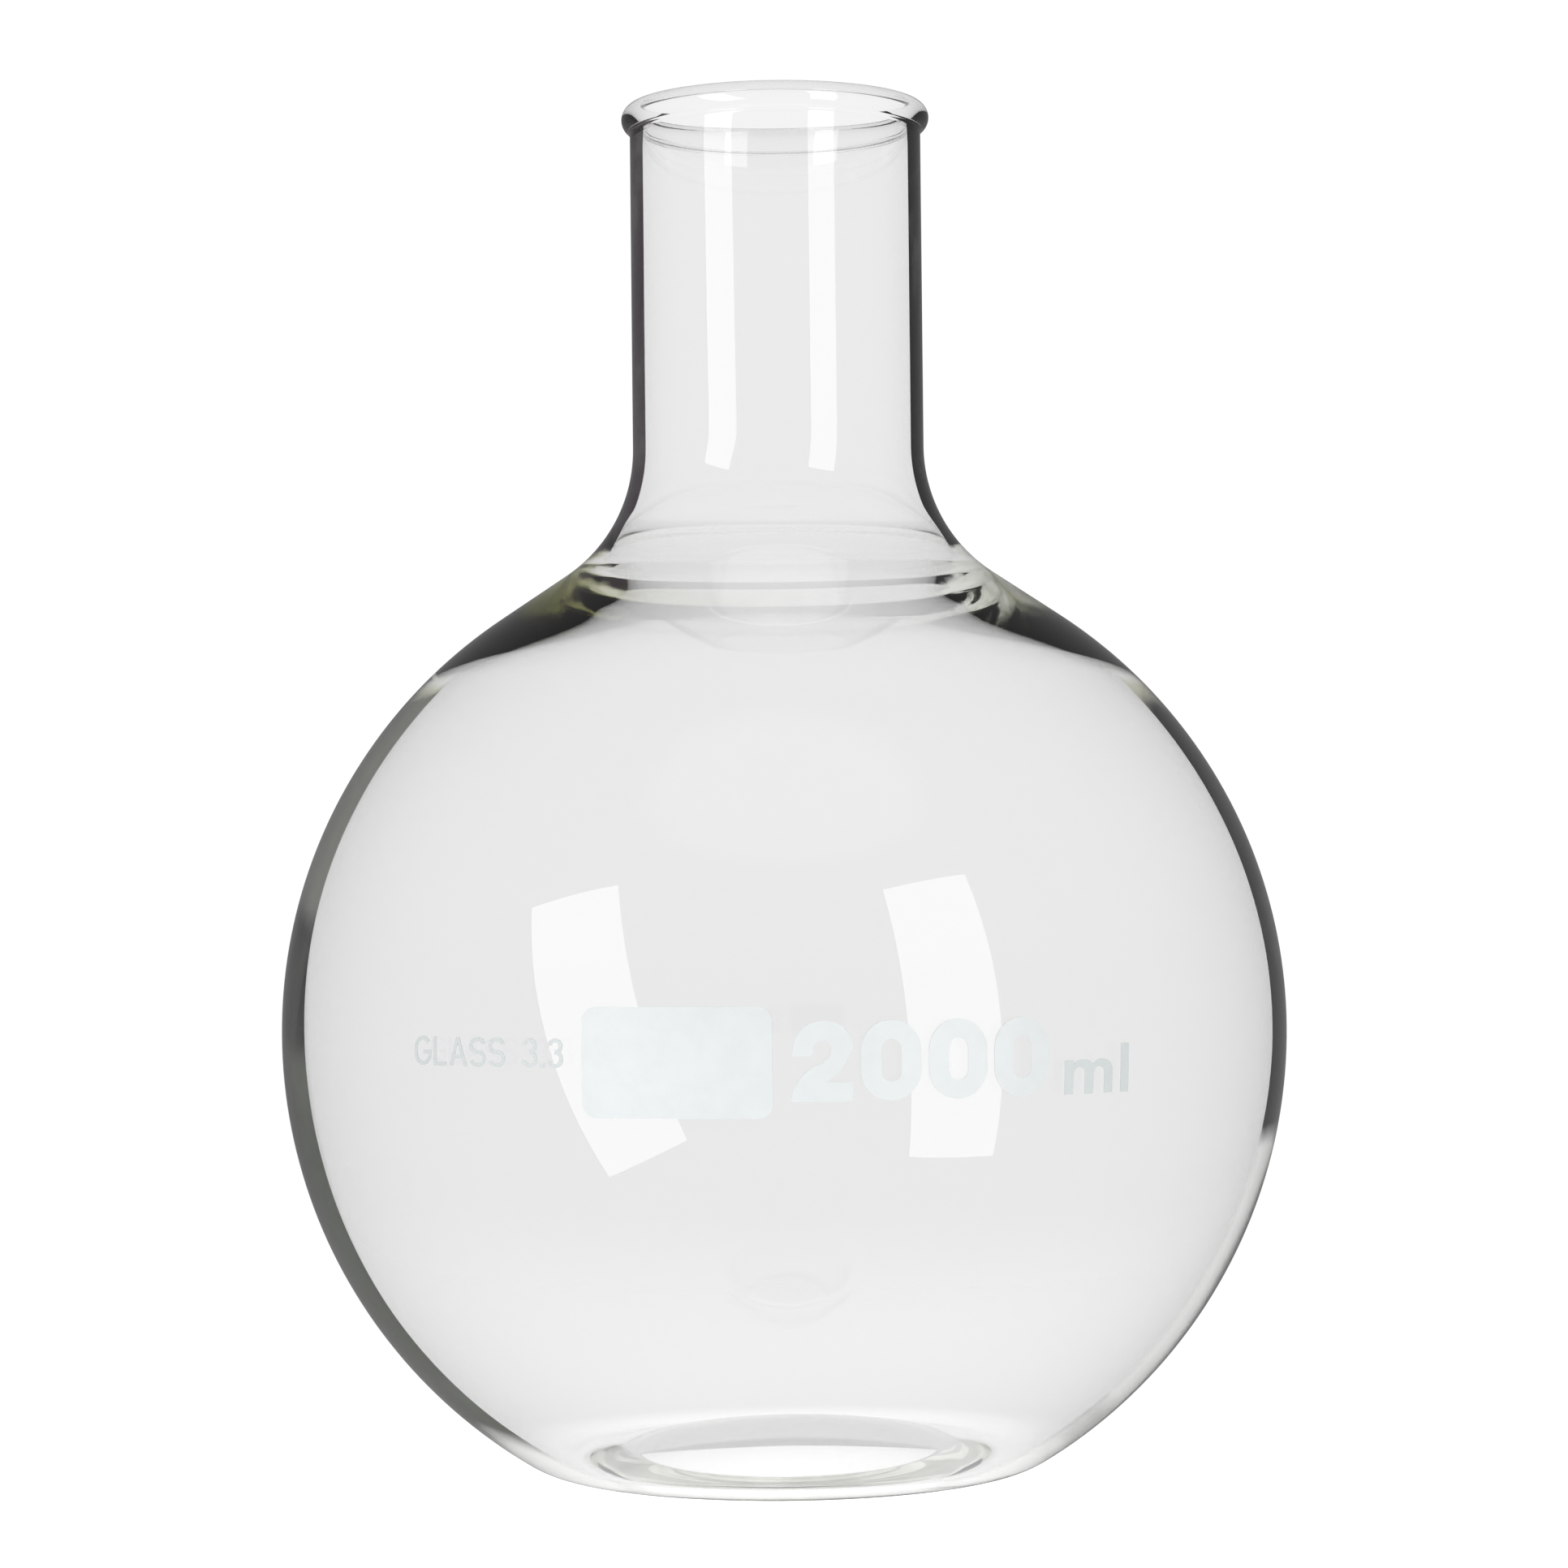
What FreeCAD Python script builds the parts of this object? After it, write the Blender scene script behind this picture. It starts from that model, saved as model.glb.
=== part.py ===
import FreeCAD, Part
import math
import os

import Sketcher

# Flat-bottomed boiling flask for 2000 ml: a blown globe with a flared shoulder, a
# narrow neck with a beaded rim, and white enamel marks fired on the front.
#
# Millimetres. +Z is up, the origin is the centre of the ring that the flask stands
# on, and the marks face -Y. The glass is two solids of revolution that meet face to
# face where the flare ends and the straight neck begins. Each mark is a thin film
# that lies on the globe.

DIMENSIONS = (
    ("globe_radius", 83.0, "outside radius at the equator"),
    ("globe_height", 72.8, "height of the equator"),
    ("globe_wall", 2.6, "glass thickness at the equator"),
    ("crown_radius", 81.7, "outside radius of the arc above the equator"),
    ("flare_radius", 25.5, "outside radius of the flare at the foot of the neck"),
    ("flare_height", 169.3, "height where the flare runs into the straight neck"),
    ("heel_radius", 15.0, "outside radius between globe and base"),
    ("inner_heel_radius", 12.5, "inside radius between globe and base"),
    ("foot_ring_radius", 27.0, "inside radius of the flat ring that it stands on"),
    ("base_push_up", 3.0, "height of the hollow under the middle of the base"),
    ("base_thickness", 4.0, "glass thickness at the middle of the base"),
    ("neck_radius", 24.2, "outside radius of the neck"),
    ("neck_wall", 2.0, "glass thickness of the neck and shoulder"),
    ("flask_height", 226.6, "overall height"),
    ("bead_radius", 25.6, "outside radius of the beaded rim"),
    ("bead_section", 2.5, "radius of the bead's round section"),
    ("bead_root", 0.8, "radius of the hollow under the bead"),
    ("film", 0.12, "thickness of the enamel"),
    ("band_half_height", 12.0, "reach of the enamel band above and below the equator"),
    ("reach", 95.0, "length of the prisms that cut the marks from the band"),
    ("field_width", 28.8, "width of the writing field"),
    ("field_height", 16.5, "height of the writing field"),
    ("field_corner", 2.2, "corner radius of the writing field"),
    ("field_foot", 63.1, "height of the writing field's lower edge"),
    ("field_azimuth", -11.25, "bearing of the writing field, degrees"),
    ("figure_height", 11.9, "height of the capacity figures"),
    ("figure_width", 9.15, "width of a capacity figure"),
    ("figure_side", 3.06, "width of a nought's upright strokes"),
    ("figure_cap", 2.82, "height of a nought's top and bottom strokes"),
    ("figure_foot", 65.5, "height of the line that figures and unit stand on"),
    ("figure_azimuth", 3.78, "bearing of the first capacity figure, degrees"),
    ("figure_pitch", 7.13, "bearing from one capacity figure to the next, degrees"),
    ("unit_height", 7.4, "height of the tall letter of the unit"),
    ("unit_m_azimuth", 33.4, "bearing of the unit's first letter, degrees"),
    ("unit_l_azimuth", 38.2, "bearing of the unit's second letter, degrees"),
    ("grade_height", 4.4, "height of the glass grade's letters"),
    ("grade_foot", 70.5, "height of the line that the glass grade stands on"),
    ("grade_azimuth", -42.5, "bearing of the glass grade's left end, degrees"),
)

START, END, CENTRE = 1, 2, 3
ACROSS, UPRIGHT = -1, -2          # a sketch's own horizontal and vertical axes
DEGREES_PER_RADIAN = 57.29578

# Small letters are ribbons: (x, y, bulge) points along the middle of the stroke, as
# fractions of the letter's height. A bulge is the tangent of a quarter of the arc's
# sweep to the next point, positive to the left, and 0 for a straight run.
STROKE = 0.136
LOW, HIGH = STROKE / 2, 1 - STROKE / 2
QUARTER = math.tan(math.radians(90) / 4)
HALF = 1.0
HOOK = math.tan(math.radians(70) / 4)
LOBE = math.tan(math.radians(260) / 4)

RIBBONS = {
    "G": (
        ((0.668, 0.791, 0.733), (LOW, 0.602, 0), (LOW, 0.398, HALF), (0.728, 0.398, 0), (0.728, 0.528, 0)),
        ((0.44, 0.46, 0), (0.74, 0.46, 0)),
    ),
    "L": (
        ((LOW, 0, 0), (LOW, 1, 0)),
        ((0.02, LOW, 0), (0.60, LOW, 0)),
    ),
    "S": (
        ((0.603, 0.790, HOOK), (0.40, HIGH, 0), (0.284, HIGH, HALF), (0.284, 0.5, 0),
         (0.40, 0.5, -HALF), (0.40, LOW, 0), (0.284, LOW, -HOOK), (0.081, 0.210, 0)),
    ),
    "3": (
        ((0.083, 0.763, -LOBE), (0.285, 0.522, 0)),
        ((0.275, 0.542, -LOBE), (0.0416, 0.2638, 0)),
    ),
    "crossbar": (((0.18, 0.33, 0), (0.62, 0.33, 0)),),
}
LETTER_WIDTH = {"G": 0.80, "L": 0.60, "A": 0.80, "S": 0.684, "3": 0.58, ".": 0.16}
LETTER_GAP = 0.12
WORD_SPACE = 0.58

# Bold characters are outlines: the corners and arc ends in millimetres, going round
# with the enamel on the left, turned into fractions of the character's height.
TWO = (
    (0, 0, 0), (9.1, 0, 0), (9.1, 2.85, 0), (5.1, 2.85, 0.2), (9.15, 8.1, QUARTER),
    (4.7, 11.9, QUARTER), (0.25, 7.6, 0), (0.15, 6.7, 0), (3.2, 6.7, 0), (3.3, 7.6, -HALF),
    (6.0, 7.7, -0.25), (4.4, 5.55, 0.308),
)
SMALL_M = (
    (0, 0, 0), (1.6, 0, 0), (1.6, 3.05, -HALF), (3.7, 3.05, 0), (3.7, 0, 0), (5.3, 0, 0),
    (5.3, 3.05, -HALF), (7.4, 3.05, 0), (7.4, 0, 0), (9.0, 0, 0), (9.0, 3.3, QUARTER),
    (7.1, 5.2, 0.25), (5.2, 4.4, 0.25), (3.5, 5.2, 0.25), (1.6, 4.4, 0), (1.6, 5.1, 0), (0, 5.1, 0),
)
SMALL_L = ((0, 0, 0), (1.6, 0, 0), (1.6, 7.4, 0), (0, 7.4, 0))
LEGS_OF_A = ((0, 0), (0.15, 0), (0.40, 0.80), (0.65, 0), (0.80, 0), (0.47, 1), (0.33, 1))
POINT = ((0, 0), (0.16, 0), (0.16, 0.16), (0, 0.16))


def make_sheet(doc):
    sheet = doc.addObject("Spreadsheet::Sheet", "Sizes")
    for row, (alias, value, meaning) in enumerate(DIMENSIONS, start=1):
        sheet.set(f"A{row}", meaning)
        sheet.set(f"B{row}", str(value))
        sheet.setAlias(f"B{row}", alias)
    doc.recompute()
    return sheet


# ---- sketches -------------------------------------------------------------------

def make_body(doc, label):
    body = doc.addObject("PartDesign::Body", label)
    body.Label = label
    return body


def add_sketch(body, name):
    """A sketch on the body's upright front plane: x to the right, y up, facing -Y."""
    plane = next(item for item in body.Origin.OriginFeatures if item.Role == "XZ_Plane")
    sketch = body.newObject("Sketcher::SketchObject", name)
    sketch.AttachmentSupport = [(plane, "")]
    sketch.MapMode = "FlatFace"
    return sketch


def add_line(sketch, start, end):
    segment = Part.LineSegment(FreeCAD.Vector(*start, 0), FreeCAD.Vector(*end, 0))
    return sketch.addGeometry(segment, False)


def add_arc(sketch, centre, radius, start_angle, end_angle):
    """An arc drawn anticlockwise between two angles in radians."""
    circle = Part.Circle(FreeCAD.Vector(*centre, 0), FreeCAD.Vector(0, 0, 1), radius)
    return sketch.addGeometry(Part.ArcOfCircle(circle, start_angle, end_angle), False)


def rule(sketch, kind, *places):
    return sketch.addConstraint(Sketcher.Constraint(kind, *places))


def drive(sketch, kind, places, value, expression):
    """A dimension whose value follows the spreadsheet."""
    index = sketch.addConstraint(Sketcher.Constraint(kind, *places, value))
    sketch.setExpression(f"Constraints[{index}]", expression)


def polar(centre, radius, angle):
    return (centre[0] + radius * math.cos(angle), centre[1] + radius * math.sin(angle))


def revolve(body, sketch):
    solid = body.newObject("PartDesign::Revolution", body.Label + "_turned")
    solid.Profile = sketch
    solid.ReferenceAxis = (sketch, ["V_Axis"])
    solid.Angle = 360
    body.Tip = solid
    return solid


# ---- glass ----------------------------------------------------------------------

def make_bulb(doc, size):
    """Globe, shoulder and base as one turned shell, open at the foot of the neck."""
    body = make_body(doc, "bulb")
    sketch = add_sketch(body, "bulb_profile")

    # Where each arc starts out, before the constraints hold it.
    equator = size.globe_height
    globe = (0, equator)
    inner_globe = size.globe_radius - size.globe_wall
    kick_radius = (size.foot_ring_radius ** 2 + size.base_push_up ** 2) / (2 * size.base_push_up)
    kick = (0, size.base_push_up - kick_radius)
    dome_radius = kick_radius + size.base_thickness
    heel_reach = size.globe_radius - size.heel_radius
    heel_drop = equator - size.heel_radius
    heel = (math.sqrt(heel_reach ** 2 - heel_drop ** 2), size.heel_radius)
    heel_angle = -math.asin(heel_drop / heel_reach)
    crown = (size.globe_radius - size.crown_radius, equator)
    flare = (size.neck_radius + size.flare_radius, size.flare_height)
    span = math.dist(crown, flare)
    slope = math.atan2(flare[1] - crown[1], flare[0] - crown[0])
    slope -= math.acos((size.crown_radius + size.flare_radius) / span)
    inner_flare = size.flare_radius + size.neck_wall
    cone_offset = flare[0] * math.cos(slope) + flare[1] * math.sin(slope) - inner_flare
    inner_crown = cone_offset - inner_globe * math.cos(slope) - equator * math.sin(slope)
    inner_crown /= 1 - math.cos(slope)
    inner_crown_centre = (inner_globe - inner_crown, equator)
    inner_reach = inner_globe - size.inner_heel_radius
    dome_reach = dome_radius + size.inner_heel_radius
    inner_heel_height = dome_reach ** 2 - inner_reach ** 2 + equator ** 2 - kick[1] ** 2
    inner_heel_height /= 2 * (equator - kick[1])
    inner_heel_drop = equator - inner_heel_height
    inner_heel = (math.sqrt(inner_reach ** 2 - inner_heel_drop ** 2), inner_heel_height)
    inner_heel_angle = -math.asin(inner_heel_drop / inner_reach)
    dome_angle = math.atan2(inner_heel[1] - kick[1], inner_heel[0])

    # Outside, from the hollow under the base up to the neck.
    kick_angle = math.atan2(-kick[1], size.foot_ring_radius)
    under = add_arc(sketch, kick, kick_radius, kick_angle, math.pi / 2)
    ring = add_line(sketch, (size.foot_ring_radius, 0), (heel[0], 0))
    heel_arc = add_arc(sketch, heel, size.heel_radius, -math.pi / 2, heel_angle)
    globe_arc = add_arc(sketch, globe, size.globe_radius, heel_angle, 0)
    crown_arc = add_arc(sketch, crown, size.crown_radius, 0, slope)
    cone = add_line(sketch, polar(crown, size.crown_radius, slope), polar(flare, -size.flare_radius, slope))
    flare_arc = add_arc(sketch, flare, size.flare_radius, math.pi, math.pi + slope)
    # The face that meets the neck.
    seal = add_line(
        sketch, (size.neck_radius, size.flare_height), (size.neck_radius - size.neck_wall, size.flare_height)
    )
    # Inside, back down to the middle of the base.
    flare_in = add_arc(sketch, flare, inner_flare, math.pi, math.pi + slope)
    cone_in = add_line(
        sketch, polar(flare, -inner_flare, slope), polar(inner_crown_centre, inner_crown, slope)
    )
    crown_in = add_arc(sketch, inner_crown_centre, inner_crown, 0, slope)
    globe_in = add_arc(sketch, globe, inner_globe, inner_heel_angle, 0)
    heel_in = add_arc(
        sketch, inner_heel, size.inner_heel_radius, dome_angle - math.pi, inner_heel_angle
    )
    dome = add_arc(sketch, kick, dome_radius, dome_angle, math.pi / 2)
    middle = add_line(sketch, (0, size.base_push_up), (0, size.base_push_up + size.base_thickness))

    rule(sketch, "Coincident", under, START, ring, START)
    rule(sketch, "Tangent", ring, END, heel_arc, START)
    rule(sketch, "Tangent", heel_arc, END, globe_arc, START)
    rule(sketch, "Tangent", globe_arc, END, crown_arc, START)
    rule(sketch, "Tangent", crown_arc, END, cone, START)
    rule(sketch, "Tangent", cone, END, flare_arc, END)
    rule(sketch, "Coincident", flare_arc, START, seal, START)
    rule(sketch, "Coincident", seal, END, flare_in, START)
    rule(sketch, "Tangent", flare_in, END, cone_in, START)
    rule(sketch, "Tangent", cone_in, END, crown_in, END)
    rule(sketch, "Tangent", crown_in, START, globe_in, END)
    rule(sketch, "Tangent", globe_in, START, heel_in, END)
    rule(sketch, "Tangent", heel_in, START, dome, START)
    rule(sketch, "Coincident", dome, END, middle, END)
    rule(sketch, "Coincident", middle, START, under, END)

    rule(sketch, "PointOnObject", under, END, UPRIGHT)
    rule(sketch, "PointOnObject", under, CENTRE, UPRIGHT)
    rule(sketch, "PointOnObject", dome, END, UPRIGHT)
    rule(sketch, "Coincident", dome, CENTRE, under, CENTRE)
    rule(sketch, "PointOnObject", ring, START, ACROSS)
    rule(sketch, "Horizontal", ring)
    rule(sketch, "PointOnObject", globe_arc, CENTRE, UPRIGHT)
    rule(sketch, "Coincident", globe_in, CENTRE, globe_arc, CENTRE)
    rule(sketch, "Horizontal", crown_arc, CENTRE, globe_arc, CENTRE)
    rule(sketch, "Horizontal", crown_in, CENTRE, globe_arc, CENTRE)
    rule(sketch, "Horizontal", flare_arc, START, flare_arc, CENTRE)
    rule(sketch, "Coincident", flare_in, CENTRE, flare_arc, CENTRE)
    rule(sketch, "Horizontal", seal)
    rule(sketch, "Parallel", cone, cone_in)

    drive(sketch, "Radius", (globe_arc,), size.globe_radius, "Sizes.globe_radius")
    drive(sketch, "DistanceY", (globe_arc, CENTRE), equator, "Sizes.globe_height")
    drive(sketch, "Radius", (globe_in,), inner_globe, "Sizes.globe_radius - Sizes.globe_wall")
    drive(sketch, "Radius", (crown_arc,), size.crown_radius, "Sizes.crown_radius")
    drive(sketch, "Radius", (flare_arc,), size.flare_radius, "Sizes.flare_radius")
    drive(sketch, "Radius", (flare_in,), inner_flare, "Sizes.flare_radius + Sizes.neck_wall")
    drive(sketch, "DistanceY", (flare_arc, CENTRE), size.flare_height, "Sizes.flare_height")
    drive(sketch, "DistanceX", (flare_arc, START), size.neck_radius, "Sizes.neck_radius")
    drive(sketch, "Radius", (heel_arc,), size.heel_radius, "Sizes.heel_radius")
    drive(sketch, "Radius", (heel_in,), size.inner_heel_radius, "Sizes.inner_heel_radius")
    drive(sketch, "DistanceX", (ring, START), size.foot_ring_radius, "Sizes.foot_ring_radius")
    drive(sketch, "DistanceY", (under, END), size.base_push_up, "Sizes.base_push_up")
    drive(
        sketch, "DistanceY", (middle, START, middle, END), size.base_thickness, "Sizes.base_thickness"
    )
    revolve(body, sketch)
    return body


def make_neck(doc, size):
    """Straight tube from the flare up, rolled out at the mouth into a round bead."""
    body = make_body(doc, "neck")
    sketch = add_sketch(body, "neck_profile")

    bore = size.neck_radius - size.neck_wall
    bead = (size.bead_radius - size.bead_section, size.flask_height - size.bead_section)
    lip_radius = bead[0] - bore
    lip = (bead[0], size.flask_height - lip_radius)
    root_x = size.neck_radius + size.bead_root
    root_angle = math.acos((root_x - bead[0]) / (size.bead_section + size.bead_root))
    root = (root_x, bead[1] - (size.bead_section + size.bead_root) * math.sin(root_angle))

    outside = add_line(sketch, (size.neck_radius, size.flare_height), (size.neck_radius, root[1]))
    root_arc = add_arc(sketch, root, size.bead_root, math.pi - root_angle, math.pi)
    bead_arc = add_arc(sketch, bead, size.bead_section, -root_angle, math.pi / 2)
    lip_arc = add_arc(sketch, lip, lip_radius, math.pi / 2, math.pi)
    inside = add_line(sketch, (bore, lip[1]), (bore, size.flare_height))
    seal = add_line(sketch, (bore, size.flare_height), (size.neck_radius, size.flare_height))

    rule(sketch, "Tangent", outside, END, root_arc, END)
    rule(sketch, "Tangent", root_arc, START, bead_arc, START)
    rule(sketch, "Tangent", bead_arc, END, lip_arc, START)
    rule(sketch, "Tangent", lip_arc, END, inside, START)
    rule(sketch, "Coincident", inside, END, seal, START)
    rule(sketch, "Coincident", seal, END, outside, START)
    rule(sketch, "Vertical", outside)
    rule(sketch, "Vertical", inside)
    rule(sketch, "Horizontal", seal)
    rule(sketch, "Vertical", bead_arc, END, bead_arc, CENTRE)

    drive(sketch, "DistanceY", (seal, START), size.flare_height, "Sizes.flare_height")
    drive(sketch, "DistanceX", (seal, START), bore, "Sizes.neck_radius - Sizes.neck_wall")
    drive(sketch, "DistanceX", (seal, END), size.neck_radius, "Sizes.neck_radius")
    drive(sketch, "Radius", (bead_arc,), size.bead_section, "Sizes.bead_section")
    drive(sketch, "Radius", (root_arc,), size.bead_root, "Sizes.bead_root")
    drive(sketch, "DistanceX", (bead_arc, CENTRE), bead[0], "Sizes.bead_radius - Sizes.bead_section")
    drive(sketch, "DistanceY", (bead_arc, END), size.flask_height, "Sizes.flask_height")
    revolve(body, sketch)
    return body


# ---- enamel ---------------------------------------------------------------------

def make_enamel_band(doc, size):
    """A thin band right round the equator, lying on the glass, that the marks are cut from."""
    body = make_body(doc, "enamel_band")
    sketch = add_sketch(body, "band_profile")
    globe = (0, size.globe_height)
    crown = (size.globe_radius - size.crown_radius, size.globe_height)
    below = math.asin(size.band_half_height / size.globe_radius)
    above = math.asin(size.band_half_height / size.crown_radius)

    lower_in = add_arc(sketch, globe, size.globe_radius, -below, 0)
    upper_in = add_arc(sketch, crown, size.crown_radius, 0, above)
    top = add_line(
        sketch, polar(crown, size.crown_radius, above), polar(crown, size.crown_radius + size.film, above)
    )
    upper_out = add_arc(sketch, crown, size.crown_radius + size.film, 0, above)
    lower_out = add_arc(sketch, globe, size.globe_radius + size.film, -below, 0)
    foot = add_line(
        sketch, polar(globe, size.globe_radius + size.film, -below), polar(globe, size.globe_radius, -below)
    )

    rule(sketch, "Tangent", lower_in, END, upper_in, START)
    rule(sketch, "Coincident", upper_in, END, top, START)
    rule(sketch, "Coincident", top, END, upper_out, END)
    rule(sketch, "Tangent", upper_out, START, lower_out, END)
    rule(sketch, "Coincident", lower_out, START, foot, START)
    rule(sketch, "Coincident", foot, END, lower_in, START)
    rule(sketch, "PointOnObject", lower_in, CENTRE, UPRIGHT)
    rule(sketch, "Coincident", lower_out, CENTRE, lower_in, CENTRE)
    rule(sketch, "Coincident", upper_out, CENTRE, upper_in, CENTRE)
    rule(sketch, "Horizontal", upper_in, CENTRE, lower_in, CENTRE)
    rule(sketch, "Horizontal", top)
    rule(sketch, "Horizontal", foot)

    drive(sketch, "DistanceY", (lower_in, CENTRE), size.globe_height, "Sizes.globe_height")
    drive(sketch, "Radius", (lower_in,), size.globe_radius, "Sizes.globe_radius")
    drive(sketch, "Radius", (upper_in,), size.crown_radius, "Sizes.crown_radius")
    drive(
        sketch, "Radius", (lower_out,), size.globe_radius + size.film, "Sizes.globe_radius + Sizes.film"
    )
    drive(
        sketch, "DistanceY", (upper_in, CENTRE, upper_in, END), size.band_half_height,
        "Sizes.band_half_height"
    )
    drive(
        sketch, "DistanceY", (lower_in, START, lower_in, CENTRE), size.band_half_height,
        "Sizes.band_half_height"
    )
    revolve(body, sketch)
    return body


def ribbon_outline(path):
    """Both edges of a stroke whose runs follow on smoothly, as a closed outline."""
    headings = []
    for (x, y, bulge), (next_x, next_y, _) in zip(path, path[1:]):
        chord = math.atan2(next_y - y, next_x - x)
        half_sweep = 2 * math.atan(bulge)
        headings.append((chord - half_sweep, chord + half_sweep))
    facing = [first for first, _ in headings] + [headings[-1][1]]
    right, left = [], []
    for (x, y, bulge), heading in zip(path, facing):
        across = (STROKE / 2 * math.sin(heading), -STROKE / 2 * math.cos(heading))
        right.append((x + across[0], y + across[1], bulge))
        left.append((x - across[0], y - across[1], bulge))
    back = [(left[i][0], left[i][1], -left[i - 1][2]) for i in range(len(left) - 1, 0, -1)]
    return right[:-1] + [(*right[-1][:2], 0)] + back + [(*left[0][:2], 0)]


def draw_outline(sketch, outline, height, alias):
    """Draw a closed outline given in fractions of a height, each corner held by the sheet."""
    pieces = []
    for (x, y, bulge), (next_x, next_y, _) in zip(outline, outline[1:] + outline[:1]):
        start, end = (x * height, y * height), (next_x * height, next_y * height)
        if bulge == 0:
            pieces.append((add_line(sketch, start, end), START, END))
            continue
        half_sweep = 2 * math.atan(abs(bulge))
        radius = math.dist(start, end) / (2 * math.sin(half_sweep))
        heading = math.atan2(end[1] - start[1], end[0] - start[0])
        turn = math.copysign(1, bulge) * (math.pi / 2 - half_sweep)
        centre = polar(start, radius, heading + turn)
        angles = [math.atan2(point[1] - centre[1], point[0] - centre[0]) for point in (start, end)]
        if bulge > 0:
            pieces.append((add_arc(sketch, centre, radius, *angles), START, END))
        else:
            pieces.append((add_arc(sketch, centre, radius, *reversed(angles)), END, START))
        if abs(end[1] - start[1]) > abs(end[0] - start[0]):
            hold(sketch, "DistanceX", UPRIGHT, (pieces[-1][0], CENTRE), centre[0] / height, height, alias)
        else:
            hold(sketch, "DistanceY", ACROSS, (pieces[-1][0], CENTRE), centre[1] / height, height, alias)

    for (index, first, last), (following, its_first, _) in zip(pieces, pieces[1:] + pieces[:1]):
        rule(sketch, "Coincident", index, last, following, its_first)
    for (index, first, _), (x, y, _) in zip(pieces, outline):
        hold(sketch, "DistanceX", UPRIGHT, (index, first), x, height, alias)
        hold(sketch, "DistanceY", ACROSS, (index, first), y, height, alias)


def hold(sketch, kind, axis, place, share, height, alias):
    """Keep one coordinate of a point at a share of a height, or on the axis when it is 0."""
    if abs(share) < 1e-9:
        rule(sketch, "PointOnObject", *place, axis)
    else:
        drive(sketch, kind, place, share * height, f"Sizes.{alias} * {share:.9f}")


def pad(body, sketch):
    """Carry a drawing from the flask's axis out through the front of the glass."""
    prism = body.newObject("PartDesign::Pad", sketch.Label + "_prism")
    prism.Profile = sketch
    prism.setExpression("Length", "Sizes.reach")
    body.Tip = prism
    return prism


def place_sketch(sketch, left, foot):
    sketch.setExpression("AttachmentOffset.Base.x", left)
    sketch.setExpression("AttachmentOffset.Base.y", foot)


def cut_mark(doc, label, band, body, azimuth):
    """Turn the prism to its bearing on the globe and keep what it shares with the band."""
    body.Placement = FreeCAD.Placement(FreeCAD.Vector(), FreeCAD.Rotation(FreeCAD.Vector(0, 0, 1), 1))
    body.setExpression("Placement.Rotation.Angle", azimuth)
    mark = doc.addObject("Part::Common", label)
    mark.Label = label
    mark.Base = band
    mark.Tool = body
    return mark


def make_writing_field(doc, size, band):
    """The blank panel: a rectangle with rounded corners."""
    body = make_body(doc, "writing_field_prism")
    sketch = add_sketch(body, "writing_field_outline")
    corners = ((0, 0), (size.field_width, 0), (size.field_width, size.field_height), (0, size.field_height))
    sides = [add_line(sketch, corners[i], corners[(i + 1) % 4]) for i in range(4)]
    for i in range(4):
        rule(sketch, "Coincident", sides[i], END, sides[(i + 1) % 4], START)
        rule(sketch, "Vertical" if i % 2 else "Horizontal", sides[i])
    rule(sketch, "Coincident", sides[0], START, ACROSS, START)
    drive(sketch, "DistanceX", (sides[0], START, sides[0], END), size.field_width, "Sizes.field_width")
    drive(sketch, "DistanceY", (sides[1], START, sides[1], END), size.field_height, "Sizes.field_height")
    place_sketch(sketch, "-Sizes.field_width / 2", "Sizes.field_foot")
    prism = pad(body, sketch)
    doc.recompute()
    long_edges = [
        f"Edge{number}" for number, edge in enumerate(prism.Shape.Edges, start=1)
        if edge.Length > size.reach - 1
    ]
    rounded = body.newObject("PartDesign::Fillet", "writing_field_corners")
    rounded.Base = (prism, long_edges)
    rounded.Radius = size.field_corner
    rounded.setExpression("Radius", "Sizes.field_corner")
    body.Tip = rounded
    return cut_mark(doc, "writing_field", band, body, "Sizes.field_azimuth")


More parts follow.
